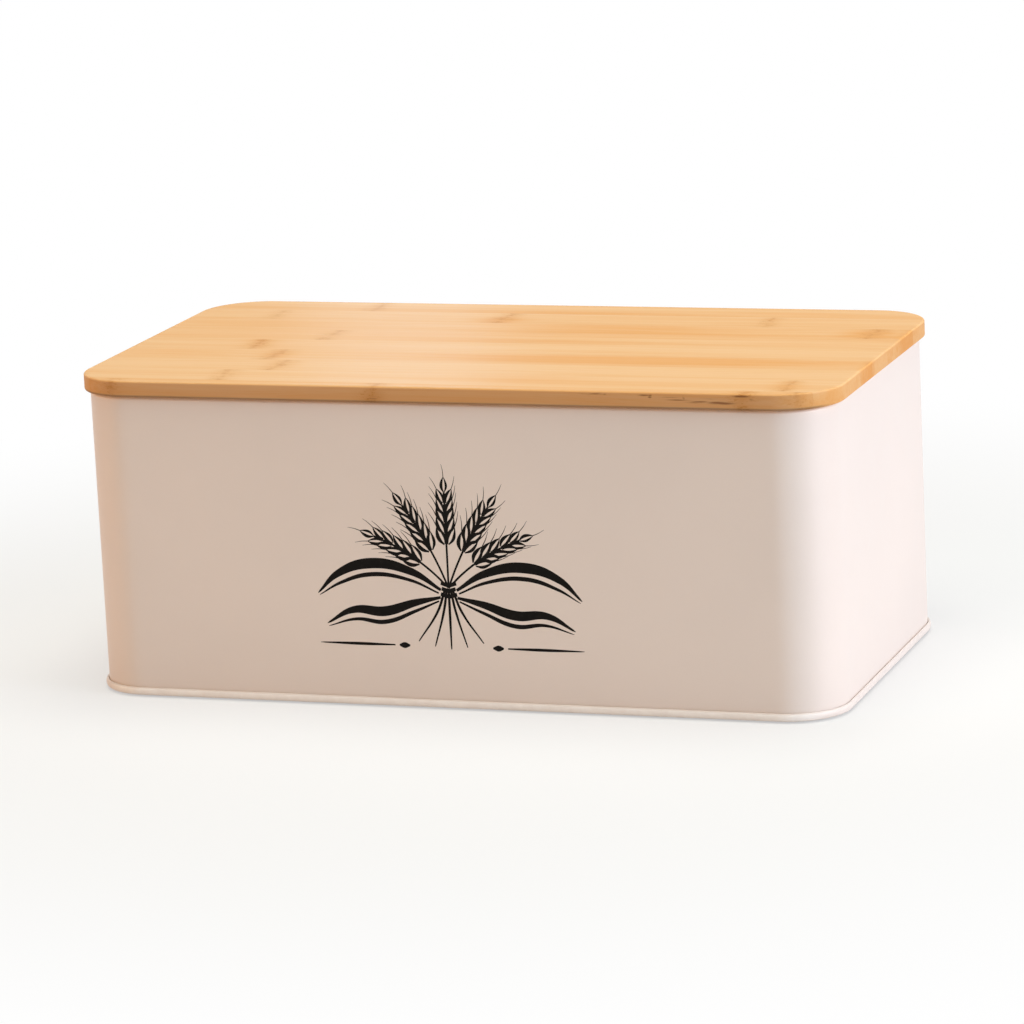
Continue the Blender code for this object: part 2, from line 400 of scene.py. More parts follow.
def make_coat_material():
    material, tree, shader = new_material("ivory_powder_coat", {"IOR": 1.5})
    place = object_place(tree)
    coat = use_group(tree, powder_coat, {"Place": place})
    finish_shader(tree, shader, coat["Colour"], coat["Roughness"], coat["Height"], COAT_PEEL_DEPTH)
    return material


coat_material = make_coat_material()
print("powder coat:", len(powder_coat.nodes), "nodes, peel", COAT_PEEL_DEPTH / MM, "mm deep")

# %% [markdown]
# ## Bending a section round the box
#
# A sheet-metal box is a section carried round a path: straight, quarter turn, straight, and so on.
# A curve with a bevel profile would do it, but its corners pinch. Here the section is drawn as a
# chain of edges at the back and carried round by two tools, extrude along each side and spin about
# each corner. Each tool leaves the new section selected, ready for the next one. A short first and
# last stretch on each side keeps the panels flat where smooth shading meets the round corners.

# %% Sizes of the sheet, and the two tools
SHEET = 0.3 * MM
PITCH = 0.4 * MM
CORNER_RADIUS = 23.5 * MM
CORNER_STEPS = 20
EASE = 1.2 * MM

base_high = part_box("base_pan")[1]
HALF_LENGTH = base_high.x - 3 * PITCH
HALF_DEPTH = base_high.y - 3 * PITCH
WALL_MIDDLE = HALF_DEPTH - SHEET / 2
print("body", round(2 * HALF_LENGTH / MM, 1), "x", round(2 * HALF_DEPTH / MM, 1), "mm")


def first_point(name, place):
    """A plane merged to one point: the pen on the paper."""
    select_only()
    bpy.ops.mesh.primitive_plane_add(size=SHEET)
    thing = call_it(name)
    start_editing(thing)
    bpy.ops.mesh.merge(type="CENTER")
    bpy.ops.transform.translate(value=place)
    return thing


def draw_line(step):
    bpy.ops.mesh.extrude_region_move(TRANSFORM_OT_translate={"value": step})


def draw_arc(centre, turn, steps, axis=(1, 0, 0)):
    """Spin what is selected. The tool turns clockwise about its axis, hence the minus sign."""
    bpy.ops.mesh.spin(steps=steps, angle=-turn, center=centre, axis=axis)


def carry_straight(step):
    step = Vector(step)
    short = step.normalized() * EASE
    draw_line(short)
    draw_line(step - 2 * short)
    draw_line(short)


def carry_round(start_x, end_x):
    """Take the selected section from the middle of the back all the way round, anticlockwise."""
    reach_x = HALF_LENGTH - CORNER_RADIUS
    reach_y = HALF_DEPTH - CORNER_RADIUS
    corners = [(-reach_x, reach_y), (-reach_x, -reach_y), (reach_x, -reach_y), (reach_x, reach_y)]
    sides = [(0, -2 * reach_y, 0), (2 * reach_x, 0, 0), (0, 2 * reach_y, 0), (end_x - reach_x, 0, 0)]
    carry_straight((-reach_x - start_x, 0, 0))
    for corner, side in zip(corners, sides):
        draw_arc((*corner, 0), pi / 2, CORNER_STEPS, axis=(0, 0, 1))
        carry_straight(side)


def give_thickness(thing):
    face_outwards(thing)
    solidify = thing.modifiers.new("sheet", "SOLIDIFY")
    solidify.thickness = SHEET
    solidify.offset = 0
    solidify.use_even_offset = True
    select_only(thing)
    bpy.ops.object.modifier_apply(modifier=solidify.name)


# %% [markdown]
# ## The wall sheet
#
# From the bottom up, the section of the wall is a hook that points up outside the wall, the wall
# itself, and the rim, rolled inwards so that no raw edge meets the hand. The two ends of the sheet
# meet in the middle of the back in a lock seam: each end is folded back on itself, and the folds hook
# together. One end first steps inwards, so that the seam lies flush outside.

# %% Make the wall sheet
RIM_RADIUS = 1.6 * MM
RIM_TURN = radians(285)
RIM_STEPS = 20
SEAM_HEIGHT = 3.4 * MM
FOLD_STEPS = 10
LOCK_HALF = 3.0 * MM
LOCK_MARGIN = 0.6 * MM
LOCK_SLIT = 0.4 * MM
BUTT_GAP = 0.3 * MM

fold_low = seam_bottom + SHEET / 2 + 2 * PITCH
fold_high = seam_bottom + SEAM_HEIGHT - SHEET / 2 - PITCH
rim_centre = rim_top - RIM_RADIUS
lock_low = seam_bottom + SEAM_HEIGHT + LOCK_MARGIN
lock_high = rim_centre - RIM_RADIUS - LOCK_MARGIN
step_x = -LOCK_HALF - 4 * PITCH


def draw_wall_section():
    """Hook, fold, wall with the stops of the lock seam, and rim."""
    draw_line((0, 0, fold_low - fold_high))
    draw_arc((step_x, WALL_MIDDLE + PITCH, fold_low), -pi, FOLD_STEPS)
    height = fold_low
    for stop in (lock_low - LOCK_SLIT, lock_low, lock_high, lock_high + LOCK_SLIT, rim_centre):
        draw_line((0, 0, stop - height))
        height = stop
    rim_middle = RIM_RADIUS - SHEET / 2
    draw_arc((step_x, WALL_MIDDLE - rim_middle, rim_centre), RIM_TURN, RIM_STEPS)


def pick_end(x, low, high):
    """Select the edges of one end of the sheet between two heights."""
    pick("EDGE", lambda p: abs(p.x - x) < NEAR and p.y > 0 and low - NEAR < p.z < high + NEAR)


def make_wall():
    wall = first_point("box_wall", (step_x, WALL_MIDDLE + 2 * PITCH, fold_high))
    draw_wall_section()
    bpy.ops.mesh.select_all(action="SELECT")
    carry_round(step_x, -LOCK_HALF)

    # The outer end folds inwards and back.
    pick_end(-LOCK_HALF, lock_low, lock_high)
    draw_arc((-LOCK_HALF, WALL_MIDDLE - PITCH, 0), pi, FOLD_STEPS, axis=(0, 0, 1))
    draw_line((2 * LOCK_HALF, 0, 0))

    # Above and below the lock seam it runs on to the other end.
    for low, high in ((seam_bottom, lock_low - LOCK_SLIT), (lock_high + LOCK_SLIT, rim_top)):
        pick_end(-LOCK_HALF, low, high)
        draw_line((step_x + BUTT_GAP + LOCK_HALF, 0, 0))

    # The inner end steps in, runs under the outer one, and folds outwards and back.
    pick_end(step_x, lock_low, lock_high)
    draw_line((3 * PITCH, -3 * PITCH, 0))
    draw_line((PITCH + 2 * LOCK_HALF, 0, 0))
    draw_arc((LOCK_HALF, WALL_MIDDLE - 2 * PITCH, 0), pi, FOLD_STEPS, axis=(0, 0, 1))
    draw_line((-2 * LOCK_HALF, 0, 0))
    stop_editing()
    give_thickness(wall)
    dress(wall, coat_material)
    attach(wall, "box")
    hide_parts("wall_sheet")
    return wall


box_wall = make_wall()
print("wall sheet:", len(box_wall.data.polygons), "faces")

# %% [markdown]
# ## The base pan
#
# The edge of the base wraps the hook of the wall and is pressed tight against it. That double seam is
# the raised band along the bottom of the box. The roll that presses it leaves its outer layer a
# little round, so its upper half catches the light. That layer is an arc that runs smoothly into the
# folds above and below it.
#
# Inside the seam the pan lies flat, and a low step lifts its middle, which stiffens the panel and lets
# the feet sit inside the seam. The step is two arcs that meet, so it runs up softly.

# %% Make the base pan
BASE_LIFT = 3.0 * MM
BASE_BEND = 1.2 * MM
BEND_STEPS = 6
STEP_INSET = 12.0 * MM
STEP_RUN = 2.0 * MM
STEP_HEIGHT = 0.8 * MM
SEAM_BOW = radians(30)

panel_height = seam_bottom + BASE_LIFT + STEP_HEIGHT


def draw_seam():
    """Up between the layers, over the wall's hook, down outside in a bow, and under the hook."""
    draw_line((0, 0, fold_high - fold_low))
    bow_y = WALL_MIDDLE + (2 + cos(SEAM_BOW)) * PITCH
    bow_z = fold_high + sin(SEAM_BOW) * PITCH
    under_radius = (bow_y - WALL_MIDDLE + PITCH) / (1 + cos(SEAM_BOW))
    under_z = seam_bottom + SHEET / 2 + under_radius
    bow_radius = ((bow_z - under_z) / sin(SEAM_BOW) + under_radius) / 2
    bow_centre = (0, bow_y - cos(SEAM_BOW) * bow_radius, bow_z - sin(SEAM_BOW) * bow_radius)
    draw_arc((0, WALL_MIDDLE + 2 * PITCH, fold_high), SEAM_BOW - pi, FOLD_STEPS)
    draw_arc(bow_centre, -2 * SEAM_BOW, FOLD_STEPS)
    draw_arc((0, WALL_MIDDLE - PITCH + under_radius, under_z), SEAM_BOW - pi, FOLD_STEPS)
    return under_z


def make_base():
    base = first_point("base_pan_and_seam", (0, WALL_MIDDLE + PITCH, fold_low))
    start = draw_seam()

    # Up inside the wall, and round the bend to the flat of the pan.
    flat = seam_bottom + BASE_LIFT
    draw_line((0, 0, flat - BASE_BEND - start))
    draw_arc((0, WALL_MIDDLE - PITCH - BASE_BEND, flat - BASE_BEND), pi / 2, BEND_STEPS)
    draw_line((0, PITCH + BASE_BEND - STEP_INSET, 0))

    # The step up to the middle panel, as two arcs with half its run and rise each.
    turn = 2 * atan(STEP_HEIGHT / STEP_RUN)
    radius = STEP_RUN / 2 / sin(turn)
    y = WALL_MIDDLE - STEP_INSET
    draw_arc((0, y, flat + radius), -turn, BEND_STEPS)
    draw_arc((0, y - STEP_RUN, flat + STEP_HEIGHT - radius), turn, BEND_STEPS)
    bpy.ops.mesh.select_all(action="SELECT")
    carry_round(0, 0)
    stop_editing()
    face_outwards(base)

    # Close the middle panel, with a narrow margin that keeps it flat.
    start_editing(base)
    inner = WALL_MIDDLE - STEP_INSET - STEP_RUN
    pick("EDGE", lambda p: abs(p.z - panel_height) < NEAR and abs(p.y) < inner + NEAR)
    bpy.ops.mesh.edge_face_add()
    bpy.ops.mesh.inset(thickness=EASE)
    stop_editing()
    give_thickness(base)
    dress(base, coat_material)
    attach(base, "box")
    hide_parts("base_pan")
    return base


base_pan = make_base()
print("base pan:", len(base_pan.data.polygons), "faces")

# %% [markdown]
# ## The feet
#
# Four soft pads glued under the raised panel keep the painted seam off the worktop. One pad is made
# from a cylinder: its lower end is drawn in, its edge rounded, and its sole dished a little, as a
# moulded pad shrinks when it cools. The other three are copies moved to their places.

# %% The material of the feet
RUBBER_COLOUR = (0.55, 0.53, 0.50, 1.0)
GRIME_COLOUR = (0.34, 0.32, 0.29, 1.0)
RUBBER_GRAIN_SCALE = 2600.0
RUBBER_GRAIN_DEPTH = 0.02 * MM
GRIME_SCALE = 420.0
GRIME_SHARE = 0.4


def make_rubber_material():
    material, tree, shader = new_material("foot_rubber", {"Specular IOR Level": 0.4})
    place = object_place(tree)
    grain = noise(tree, place, RUBBER_GRAIN_SCALE, 3.0, 0.6)
    grime = fit(tree, noise(tree, place, GRIME_SCALE, 4.0), 0.45, 0.72)
    colour = blend(tree, times(tree, grime, GRIME_SHARE), RUBBER_COLOUR, GRIME_COLOUR)
    roughness = fit(tree, grain, 0.3, 0.7, 0.58, 0.76)
    finish_shader(tree, shader, colour, roughness, grain, RUBBER_GRAIN_DEPTH)
    return material


rubber_material = make_rubber_material()
print("feet:", len(rubber_material.node_tree.nodes), "nodes")

# %% Make the four feet
FOOT_SIDES = 64
FOOT_TAPER = 0.7 * MM
FOOT_EDGE = 0.9 * MM
FOOT_EDGE_STEPS = 6
FOOT_TOP_EDGE = 0.15 * MM
FOOT_MARGIN = 1.5 * MM
FOOT_DISH = 0.15 * MM


def make_foot(node):
    low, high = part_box(node)
    radius = (high.x - low.x) / 2
    middle = (low + high) / 2
    select_only()
    bpy.ops.mesh.primitive_cylinder_add(
        vertices=FOOT_SIDES, radius=radius, depth=high.z - low.z, location=middle)
    foot = call_it("pad_" + node)
    settle(foot)
    start_editing(foot)
    pick("VERT", lambda p: p.z < low.z + NEAR)
    share = (radius - FOOT_TAPER) / radius
    bpy.ops.transform.resize(value=(share, share, 1), center_override=middle)
    pick("EDGE", lambda p: p.z < low.z + NEAR)
    bpy.ops.mesh.bevel(offset=FOOT_EDGE, segments=FOOT_EDGE_STEPS, affect="EDGES")
    pick("EDGE", lambda p: p.z > high.z - NEAR)
    bpy.ops.mesh.bevel(offset=FOOT_TOP_EDGE, segments=2, affect="EDGES")
    pick("FACE", lambda p: p.z < low.z + NEAR)
    bpy.ops.mesh.inset(thickness=FOOT_MARGIN)
    bpy.ops.mesh.inset(thickness=EASE / 2)
    bpy.ops.transform.translate(value=(0, 0, FOOT_DISH))
    stop_editing()
    dress(foot, rubber_material)
    return foot, middle


def place_feet():
    first = "foot_front_left"
    foot, start = make_foot(first)
    feet = {first: foot}
    for node in ("foot_front_right", "foot_back_left", "foot_back_right"):
        low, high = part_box(node)
        feet[node] = copy_of(foot, "pad_" + node, Matrix.Translation((low + high) / 2 - start))
    for node, pad in feet.items():
        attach(pad, "box")
        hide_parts(node)
    return feet


feet = place_feet()
print("feet:", ", ".join(feet))

# %% [markdown]
# ## The printed wheat sheaf
#
# A black ink is screened on the front once the coat has cured. It dries as a film a few hundredths of
# a millimetre thick, so it is modelled as one. Each pen stroke is a curve whose radius swells and
# tapers: it becomes a tube, and the tube is pressed flat against the wall. One grain is drawn, and the
# other grains are copies of it set along curved ears.
#
# Screened ink is dense and flat. Its film is never quite even, so the roughness wanders, and a fine
# grain stands in for the weave of the screen.

# %% The ink
INK_COLOUR = (0.005, 0.004, 0.003, 1.0)
INK_THIN = (0.022, 0.019, 0.017, 1.0)
INK_DEPTH = 0.006 * MM
FILM_SCALE = 420.0
WEAVE_SCALE = 5200.0
THIN_ROUGHNESS = 0.1


def make_ink_material():
    material, tree, shader = new_material("screened_ink", {"Specular IOR Level": 0.08})
    place = object_place(tree)
    film = noise(tree, place, FILM_SCALE, 3.0, 0.6)
    weave = noise(tree, place, WEAVE_SCALE)
    thin = times(tree, fit(tree, film, 0.48, 0.75), fit(tree, weave, 0.45, 0.65))
    colour = blend(tree, thin, INK_COLOUR, INK_THIN)
    roughness = plus(tree, fit(tree, film, 0.3, 0.7, 0.36, 0.48), times(tree, thin, THIN_ROUGHNESS))
    finish_shader(tree, shader, colour, roughness, plus(tree, weave, film), INK_DEPTH)
    return material


ink_material = make_ink_material()
print("ink:", len(ink_material.node_tree.nodes), "nodes")

# %% The pen
INK_STANDOUT = 0.035 * MM
PEN_STEPS = 10
PRINT_CENTRE = Vector((0, -HALF_DEPTH, 64.6 * MM))


def pen_stroke(*points):
    """A flat stroke through points, each given in millimetres as (x, height, half its width)."""
    select_only()
    bpy.ops.curve.primitive_bezier_curve_add()
    stroke = call_it("stroke")
    stroke.data.bevel_depth = MM
    stroke.data.bevel_resolution = 2
    stroke.data.resolution_u = PEN_STEPS
    stroke.data.use_fill_caps = True
    spline = stroke.data.splines[0]
    spline.radius_interpolation = "BSPLINE"
    spline.bezier_points.add(len(points) - 2)
    for point, (x, height, half_width) in zip(spline.bezier_points, points):
        point.co = (x * MM, 0, height * MM)
        point.radius = half_width
        point.handle_left_type = "AUTO"
        point.handle_right_type = "AUTO"
    settle(stroke)
    bpy.ops.object.convert(target="MESH")
    thickest = max(half_width for x, height, half_width in points) * MM
    start_editing(stroke)
    bpy.ops.transform.resize(value=(1, INK_STANDOUT / thickest, 1), center_override=(0, 0, 0))
    stop_editing()
    face_outwards(stroke)
    return stroke


def joined(strokes):
    select_only(*strokes)
    bpy.ops.object.join()
    return bpy.context.object


def both_sides(*points):
    """A stroke, and its mirror image on the left."""
    mirrored = [(-x, height, half_width) for x, height, half_width in points]
    return [pen_stroke(*points), pen_stroke(*mirrored)]


# %% One grain, and the way a stem grows
GRAIN_LENGTH = 8.0
AWN_LENGTH = 7.0
BINDING_HEIGHT = -12.0
STEM_STEPS = 44


def draw_grain():
    """Two curved strokes with a sliver of bare wall between them, and the awn at the tip."""
    tip = GRAIN_LENGTH
    left = pen_stroke((-0.2, 0.0, 0.20), (-1.30, 2.8, 0.98), (-1.05, 5.5, 0.74), (-0.1, tip, 0.10))
    right = pen_stroke((0.3, 0.1, 0.15), (1.30, 2.9, 0.78), (1.05, 5.3, 0.58), (0.1, tip, 0.08))
    bend, end = tip + AWN_LENGTH / 2, tip + AWN_LENGTH
    awn = pen_stroke((0, tip - 0.3, 0.22), (-0.2, bend, 0.17), (-0.9, end, 0.06))
    return joined([left, right, awn])


def walk(heading, turn, length):
    """Places along a stem that leans further as it grows, as (x, height, lean)."""
    x, height = 0.0, BINDING_HEIGHT
    path = [(x, height, heading)]
    for step in range(STEM_STEPS):
        lean = heading + turn * (step + 0.5) / STEM_STEPS
        x += sin(lean) * length / STEM_STEPS
        height += cos(lean) * length / STEM_STEPS
        path.append((x, height, lean))
    return path


# %% Draw the sheaf
STEM_HALF_WIDTH = 0.45
STEM_POINTS = 4
GRAIN_LEAN = radians(23)
GRAIN_OFFSET = 0.7
PAIRS = 5
LOWEST_SIZE = 1.02
SIZE_STEP = 0.05
TIP_SIZE = 0.8

# Lean at the binding, further lean, length and where the grains begin, for each stem.
STEMS = [
    (radians(-43), radians(-27), 39.0, 18),
    (radians(-21), radians(-15), 40.0, 19),
    (0.0, 0.0, 41.0, 20),
    (radians(21), radians(15), 40.0, 19),
    (radians(43), radians(27), 39.0, 18),
]


def upright(x, height, lean, size=1.0):
    """Put the base of a grain at a place, leaning over to the right."""
    move = Matrix.Translation((x * MM, 0, height * MM))
    return move @ Matrix.Rotation(lean, 4, "Y") @ Matrix.Diagonal((size, 1, size, 1))


def draw_ear(grain, heading, turn, length, first):
    path = walk(heading, turn, length)
    stem = [(x, height, STEM_HALF_WIDTH) for x, height, lean in path[::STEM_STEPS // STEM_POINTS]]
    pieces = [pen_stroke(*stem)]
    spacing = (STEM_STEPS - first) / PAIRS
    for pair in range(PAIRS):
        x, height, lean = path[round(first + pair * spacing)]
        size = LOWEST_SIZE - SIZE_STEP * pair
        for side in (-1, 1):
            out = side * GRAIN_OFFSET
            beside = (x + out * cos(lean), height - out * sin(lean))
            place = upright(*beside, lean + side * GRAIN_LEAN, size)
            pieces.append(copy_of(grain, "grain", place))
    pieces.append(copy_of(grain, "grain", upright(*path[-1], TIP_SIZE)))
    return pieces


# A leaf is a bold upper edge and a light lower one, with a sliver between them. Below the two
# leaves come the rule and the small lozenge at its inner end. Each is drawn on both sides.
LEAVES_AND_RULE = [
    [(3.5, -13.0, 0.4), (16, -5.6, 1.7), (34, -2.4, 2.6), (49, -7.2, 1.6), (58.5, -16.0, 0.15)],
    [(4.5, -14.4, 0.3), (17, -9.2, 0.7), (34, -7.2, 1.1), (48, -11.2, 0.7), (57.8, -16.8, 0.10)],
    [(3.7, -16.2, 0.4), (15, -18.8, 1.6), (29, -23.0, 2.4), (43, -22.8, 1.6), (55, -29.0, 0.15)],
    [(4.5, -17.8, 0.3), (15, -22.4, 0.7), (29, -27.6, 1.1), (42, -26.8, 0.7), (54.4, -30.2, 0.10)],
    [(25, -37.4, 0.2), (40, -37.4, 0.9), (58.5, -37.4, 0.12)],
    [(18.4, -37.4, 0.1), (20.8, -37.4, 1.9), (23.2, -37.4, 0.1)],
]


def draw_below():
    """The stems below the binding, the binding itself, the leaves and the rules."""
    pieces = [pen_stroke((0, -13, 0.50), (0, -26, 0.65), (0, -38.5, 0.25))]
    for spread, low in ((1, -37.5), (2, -35.5)):
        pieces += both_sides(
            (0.9 * spread, -13, 0.50), (2.6 * spread, -22, 0.62), (7.2 * spread, low, 0.22))
    for height, reach in ((-10.4, 3.4), (-12.8, 3.1), (-15.2, 3.6)):
        side_height, middle_height = height + 0.4, height - 0.4
        pieces.append(pen_stroke(
            (-reach, side_height, 0.8), (0, middle_height, 1.0), (reach, side_height, 0.8)))
    for stroke in LEAVES_AND_RULE:
        pieces += both_sides(*stroke)
    return pieces


def make_print():
    grain = draw_grain()
    pieces = draw_below()
    for stem in STEMS:
        pieces += draw_ear(grain, *stem)
    bpy.data.objects.remove(grain)
    sheaf = joined(pieces)
    call_it("printed_wheat_sheaf")
    sheaf.data.transform(Matrix.Translation(PRINT_CENTRE))
    dress(sheaf, ink_material)
    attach(sheaf, "box")
    return sheaf


wheat_sheaf = make_print()
print("print:", [round(side / MM, 1) for side in wheat_sheaf.dimensions], "mm")

# %% [markdown]
# ## Bamboo
#
# Bamboo is a bundle of straight fibres, so its grain is a solid pattern drawn out along the strip:
# noise squeezed across the strip and stretched along it. Read in space and not on the surface, the
# same pattern gives streaks on the faces and dots on the sawn ends. Every stem has joints, and each
# joint leaves a soft cross band, a thin broken line in its middle, short dark flecks and an orange
# blush round it. The colour changes from strip to strip, so the tone is an input.
#
# Two groups do this. One makes a soft spot at a place, for joints, blushes and stains. The other
# turns tone and spots into colour, roughness and height. It also paints shade on the sides of the
# board, warms its sawn ends, and paints a thin line of shade on the lower arris of its long edges.

# %% A soft spot at a place


def make_soft_spot():
    nowhere = ("place", (0, 0, 0))
    inputs = {"Place": nowhere, "Centre": nowhere, "Size": ("place", (1, 1, 1))}
    tree, take, give = new_group("soft_spot", inputs, {"Share": "share"})
    away = vectors(tree, "DIVIDE", vectors(tree, "SUBTRACT", take["Place"], take["Centre"]), take["Size"])
    squared = put(tree, "ShaderNodeVectorMath", {0: away, 1: away}, operation="DOT_PRODUCT")
    share = maths(tree, "EXPONENT", times(tree, squared.outputs["Value"], -1.0))
    tree.links.new(share, give["Share"])
    return tree


soft_spot = make_soft_spot()
print("soft spot:", len(soft_spot.nodes), "nodes")

# %% The bamboo as a node group
BAMBOO_PALE = (0.785, 0.480, 0.226, 1.0)
BAMBOO_DARK = (0.740, 0.365, 0.112, 1.0)
BAMBOO_KNOT = (0.620, 0.285, 0.072, 1.0)
BAMBOO_CORE = (0.520, 0.210, 0.036, 1.0)
BAMBOO_STAIN = (0.250, 0.100, 0.034, 1.0)
# Painted shade on the sides of the board.
SIDE_SHADE = (0.81, 0.79, 0.87, 1.0)
END_TINT = (0.88, 0.785, 0.65, 1.0)
# Painted shade on the lower arris of the long edges.
ARRIS_SHADE = (0.50, 0.55, 0.72, 1.0)
BAMBOO_DEPTH = 0.03 * MM

# How often a metre each pattern changes, along the strip, across it and through it.
BROAD_SCALES = (2.2, 95.0, 95.0)
FIBRE_SCALES = (8.0, 520.0, 520.0)
FINE_SCALES = (26.0, 2600.0, 2600.0)
PATCH_SCALES = (60.0, 210.0, 210.0)
FLECK_SCALES = (420.0, 1100.0, 1100.0)
BREAK_SCALES = (50.0, 170.0, 170.0)
STREAK_SCALES = (30.0, 1500.0, 1500.0)
SWAY_SCALE = 7.0
SWAY_REACH = 6.0 * MM

# How much each effect does at most.
BLUSH_SHARE = 0.8
KNOT_SHARE = 0.72
LINE_SHARE = 0.48
HAIRLINE_SHARE = 0.25
STAIN_SHARE = 0.85

lid_low, lid_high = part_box("lid_strip_5")
lid_top = lid_high.z
LID_EDGE = 7.0 * MM
lid_under = lid_top - LID_EDGE
print("top of the lid", round(lid_top / MM, 1), "mm up")

# Each mask starts at its first place and is full at its second. The first three are heights, and
# the last two are distances from the middle.
BELOW_TOP = (lid_top - 0.15 * MM, lid_top - 0.9 * MM)
# Where the lower arris gets its painted shade.
ARRIS_SHADE_FOOT = (lid_under + 0.02 * MM, lid_under + 0.25 * MM)
ARRIS_SHADE_HEAD = (lid_under + 1.4 * MM, lid_under + 0.6 * MM)
LONG_EDGES = (lid_high.x - 1.0 * MM, lid_high.x - 8.0 * MM)
SAWN_ENDS = (lid_high.x - 22.0 * MM, lid_high.x - 5.5 * MM)


def make_bamboo():
    inputs = {"Place": ("place", (0, 0, 0)), "Seed": ("place", (0, 0, 0)), "Tone": ("share", 0.5)}
    for mark in ("Joints", "Lines", "Blush", "Stain"):
        inputs[mark] = ("share", 0.0)
    outputs = {"Colour": "colour", "Roughness": "share", "Height": "share"}
    tree, take, give = new_group("bamboo", inputs, outputs)
    place = vectors(tree, "ADD", take["Place"], take["Seed"])

    # The fibres wander a little sideways along the strip.
    wander = maths(tree, "SUBTRACT", noise(tree, place, SWAY_SCALE, 1.0), 0.5)
    sway = times(tree, wander, SWAY_REACH)
    sideways = put(tree, "ShaderNodeCombineXYZ", {"Y": sway, "Z": sway}).outputs[0]
    place = vectors(tree, "ADD", place, sideways)
    broad = stretched(tree, place, BROAD_SCALES, 3.0, 0.55)
    fibre = stretched(tree, place, FIBRE_SCALES, 4.0)
    fine = stretched(tree, place, FINE_SCALES)

    # The tone, with its blushes.
    tone = plus(tree, take["Tone"], fit(tree, broad, 0.3, 0.7, -0.24, 0.24),
                fit(tree, fibre, 0.3, 0.7, -0.14, 0.14), fit(tree, fine, 0.3, 0.7, -0.10, 0.10),
                times(tree, take["Blush"], BLUSH_SHARE))
    colour = blend(tree, fit(tree, tone, 0.0, 1.0, kind="LINEAR"), BAMBOO_PALE, BAMBOO_DARK)

    # A joint is a patchy band, with flecks in it and a broken line along its middle.
    patches = fit(tree, stretched(tree, place, PATCH_SCALES), 0.35, 0.62, 0.35, 1.0)
    joints = times(tree, take["Joints"], patches)
    colour = blend(tree, times(tree, joints, KNOT_SHARE), colour, BAMBOO_KNOT)
    flecks = fit(tree, stretched(tree, place, FLECK_SCALES), 0.54, 0.64)
    colour = blend(tree, times(tree, joints, flecks), colour, BAMBOO_CORE)
    breaks = fit(tree, stretched(tree, place, BREAK_SCALES), 0.42, 0.56)
    colour = blend(tree, times(tree, take["Lines"], breaks, LINE_SHARE), colour, BAMBOO_CORE)

    # Dark hairlines between the fibres, and stains that follow them.
    colour = blend(tree, fit(tree, fine, 0.62, 0.74, 0.0, HAIRLINE_SHARE), colour, BAMBOO_KNOT)
    streaks = fit(tree, stretched(tree, place, STREAK_SCALES, 4.0, 0.65), 0.36, 0.60)
    stain = times(tree, take["Stain"], fit(tree, streaks, 0.0, 1.0, 0.30, 1.0))
    colour = blend(tree, fit(tree, stain, 0.06, 0.78, 0.0, STAIN_SHARE), colour, BAMBOO_STAIN)

    # Painted shade on the sides, warmer sawn ends, and a painted shade line on the lower arris.
    axes = axes_of(tree, take["Place"])
    along = maths(tree, "ABSOLUTE", axes["X"])
    side_shade_and_end_tint = blend(tree, fit(tree, along, *SAWN_ENDS), SIDE_SHADE, END_TINT)
    colour = blend(tree, fit(tree, axes["Z"], *BELOW_TOP), colour, side_shade_and_end_tint, kind="MULTIPLY")
    # Painted shade along the lower arris of the long edges.
    arris_shade = times(tree, fit(tree, axes["Z"], *ARRIS_SHADE_FOOT), fit(tree, axes["Z"], *ARRIS_SHADE_HEAD),
                fit(tree, along, *LONG_EDGES))
    colour = blend(tree, arris_shade, colour, ARRIS_SHADE, kind="MULTIPLY")
    tree.links.new(colour, give["Colour"])

    roughness = plus(tree, fit(tree, fibre, 0.25, 0.75, 0.54, 0.68), times(tree, joints, 0.1))
    tree.links.new(roughness, give["Roughness"])
    relief = plus(tree, fine, times(tree, fibre, 0.6), times(tree, joints, -0.8))
    tree.links.new(relief, give["Height"])
    return tree


bamboo = make_bamboo()
print("bamboo:", len(bamboo.nodes), "nodes")

# %% [markdown]
# ## One material for each strip
#
# Each strip has its own tone, its own stretch of the pattern, and its own joints at places read from
# the photo. Marks are written in millimetres from the middle of the box. A joint wanders as it
# crosses the strip, so a mark is laid on a coordinate that is bent by a slow noise and frayed by a
# quick one. A thin oil finish lies over the wood. It is the shader's coat: smoother than the fibres,
# so a lamp behind the box leaves a soft pale streak across the lid.

# %% What is special about each strip
MARK_LONG = 1000.0
JOINT_LENGTH = 5.0
LINE_LENGTH = 1.2

# Tone, joints as (x, strength), blushes as (x, y, length, width, strength).
STRIP_MARKS = {
    1: (0.30, [(-86.9, 0.60)], [(20, 73, 75, 6, 0.70), (110, 76, 50, 8, 0.40)]),
    2: (0.18, [(-127.7, 0.40), (-20.9, 0.60), (100.5, 0.50)], [(-20, 54, 10, 8, 1.00)]),
    3: (0.34, [(152.9, 0.70)],
        [(152, 37, 12, 9, 1.20), (40, 38, 60, 11, 0.95), (-130, 36, 50, 9, 0.45),
         (170, 37, 8, 14, 1.10)]),
    4: (0.34, [(-85.9, 0.60)], [(10, 9, 60, 5, 0.55)]),
    5: (0.20, [(-113.1, 0.80)], [(-113, -4, 9, 9, 0.55), (60, -14, 60, 5, 0.35)]),
    6: (0.34, [(-96.3, 0.60)],
        [(-96, -28, 9, 8, 0.60), (65, -29, 85, 10, 1.25), (-140, -30, 30, 8, 0.40),
         (170, -29, 6, 14, 1.10)]),
    7: (0.16, [(-84.8, 0.60)], [(-85, -50, 8, 9, 0.35)]),
    8: (0.22, [(-100.5, 0.60), (145.5, 0.65)], [(145, -72, 9, 9, 0.55), (30, -70, 28, 9, 0.45)]),
    9: (0.55, [(-27.2, 0.80), (131.9, 0.80), (-147.0, 0.50), (152.8, 0.55)], []),
}

